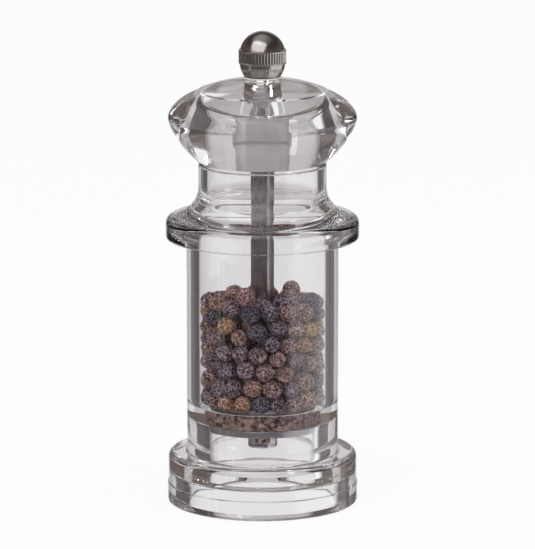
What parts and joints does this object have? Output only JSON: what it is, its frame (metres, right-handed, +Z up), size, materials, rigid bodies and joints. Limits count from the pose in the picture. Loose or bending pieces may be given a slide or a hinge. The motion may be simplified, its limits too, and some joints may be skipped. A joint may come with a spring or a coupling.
{
  "type": "pepper mill",
  "caption": "Clear acrylic pepper mill: turned head and collared barrel, ball knob, square spindle driving a grinding cone over a hollow base.",
  "frame": {"origin": "centre of the foot's underside, on the mill's axis", "axes": "+Z up along the axis of the spindle, towards the knob; +X to the right and -Y towards the viewer"},
  "size_m": [0.0568, 0.0568, 0.14],
  "materials": {
    "clear_acrylic": "polished clear acrylic",
    "bush_plastic": "clear moulded plastic",
    "knob_steel": "polished stainless steel",
    "spindle_aluminium": "drawn square bar",
    "grinder_steel": "case-hardened and blackened",
    "plate_steel": "zinc plated",
    "fastener_steel": "bright zinc plated",
    "spring_steel": "bright spring wire",
    "washer_nylon": "natural nylon",
    "pepper": "dried wrinkled berries"
  },
  "bodies": {
    "mill": {"barrel": "clear_acrylic", "base": "clear_acrylic", "grinding_ring": "grinder_steel", "retaining_plate": "plate_steel", "bridge": "plate_steel", "bridge_screws": "fastener_steel", "peppercorns": "pepper"},
    "turner": {"thrust_washer": "washer_nylon", "spring": "spring_steel"},
    "spindle_set": {"spindle": "spindle_aluminium", "grinding_cone": "grinder_steel", "lock_washer": "fastener_steel", "end_nut": "fastener_steel", "spring_seat": "fastener_steel"},
    "head_set": {"head": "clear_acrylic", "drive_bush": "bush_plastic", "knob_washer": "washer_nylon"},
    "knob_set": {"knob": "knob_steel"}
  },
  "joints": [
    {"name": "head_turn", "type": "hinge", "parent": "mill", "child": "turner", "pos_m": [0, 0, 0.1008], "axis": [0, 0, 1], "continuous": true},
    {"name": "grind_gap", "type": "slide", "parent": "turner", "child": "spindle_set", "axis": [0, 0, 1], "range_m": [-0.0016, 0.0008], "deforming": ["spring"]},
    {"name": "head_lift", "type": "slide", "parent": "turner", "child": "head_set", "axis": [0, 0, 1], "range_m": [0, 0.045]},
    {"name": "knob_turn", "type": "hinge", "parent": "head_set", "child": "knob_set", "pos_m": [0, 0, 0.1328], "axis": [0, 0, 1], "range_deg": [-360, 720]}
  ],
  "couplings": [
    {"joint": "knob_turn", "follows": "grind_gap", "rad_per_m": -7854}
  ]
}
